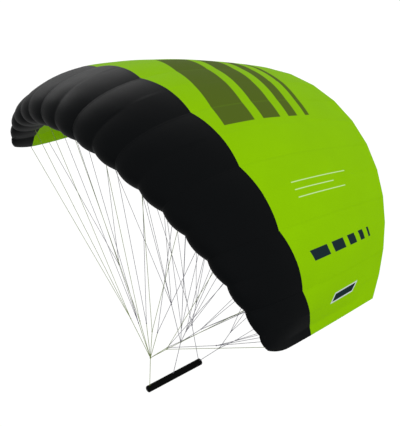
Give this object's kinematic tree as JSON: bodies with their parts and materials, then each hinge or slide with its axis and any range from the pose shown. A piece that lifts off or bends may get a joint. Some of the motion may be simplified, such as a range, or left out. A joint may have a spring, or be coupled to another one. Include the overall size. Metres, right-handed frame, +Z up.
{
  "type": "parawing",
  "caption": "Hand-held parawing in flight: arched soft wing with a puffed double-skin nose, sewn gores, a fanned bridle and a short fore-and-aft hand bar.",
  "frame": {"origin": "middle of the hand bar's axis, where the hands hold the wing", "axes": "+X along the span, -Y forwards to the nose, +Y aft, +Z up from the bar to the wing"},
  "size_m": [2.3526, 1.6401, 2.1924],
  "materials": {
    "lime_cloth": "lime coated ripstop nylon",
    "black_cloth": "black coated ripstop nylon",
    "grip_foam": "matt black grip foam",
    "green_line": "green-sheathed line",
    "grey_line": "grey unsheathed line"
  },
  "bodies": {
    "root": {"belly_rear_1": "lime_cloth", "belly_rear_2": "lime_cloth", "belly_rear_3": "lime_cloth", "belly_rear_4": "lime_cloth", "belly_rear_5": "lime_cloth", "belly_rear_6": "lime_cloth", "belly_rear_7": "lime_cloth", "belly_rear_8": "lime_cloth", "belly_rear_9": "lime_cloth", "brake_fan_left": "grey_line", "brake_fan_right": "grey_line", "brake_lines_inner_e_left": "grey_line", "brake_lines_inner_e_right": "grey_line", "brake_lines_outer_e_left": "grey_line", "brake_lines_outer_e_right": "grey_line", "canopy_gore_1": "lime_cloth", "canopy_gore_2": "lime_cloth", "canopy_gore_3": "lime_cloth", "canopy_gore_4": "lime_cloth", "canopy_gore_5": "lime_cloth", "canopy_gore_6": "lime_cloth", "canopy_gore_7": "lime_cloth", "canopy_gore_8": "lime_cloth", "canopy_gore_9": "lime_cloth", "front_lines_inner_a_left": "green_line", "front_lines_inner_a_right": "green_line", "front_lines_inner_b_left": "grey_line", "front_lines_inner_b_right": "grey_line", "front_lines_outer_a_left": "green_line", "front_lines_outer_a_right": "green_line", "front_lines_outer_b_left": "grey_line", "front_lines_outer_b_right": "grey_line", "front_lines_tip_bcd_left": "grey_line", "front_lines_tip_bcd_right": "grey_line", "front_tow_fan": "green_line", "hand_bar": "grip_foam", "nose_belly_1": "black_cloth", "nose_belly_2": "black_cloth", "nose_belly_3": "black_cloth", "nose_belly_4": "black_cloth", "nose_belly_5": "black_cloth", "nose_belly_6": "black_cloth", "nose_belly_7": "black_cloth", "nose_belly_8": "black_cloth", "nose_belly_9": "black_cloth", "nose_top_1": "black_cloth", "nose_top_2": "black_cloth", "nose_top_3": "black_cloth", "nose_top_4": "black_cloth", "nose_top_5": "black_cloth", "nose_top_6": "black_cloth", "nose_top_7": "black_cloth", "nose_top_8": "black_cloth", "nose_top_9": "black_cloth", "rear_lines_inner_cd_left": "grey_line", "rear_lines_inner_cd_right": "grey_line", "rear_lines_outer_cd_left": "grey_line", "rear_lines_outer_cd_right": "grey_line", "rear_tow_fan": "grey_line"}
  },
  "joints": []
}
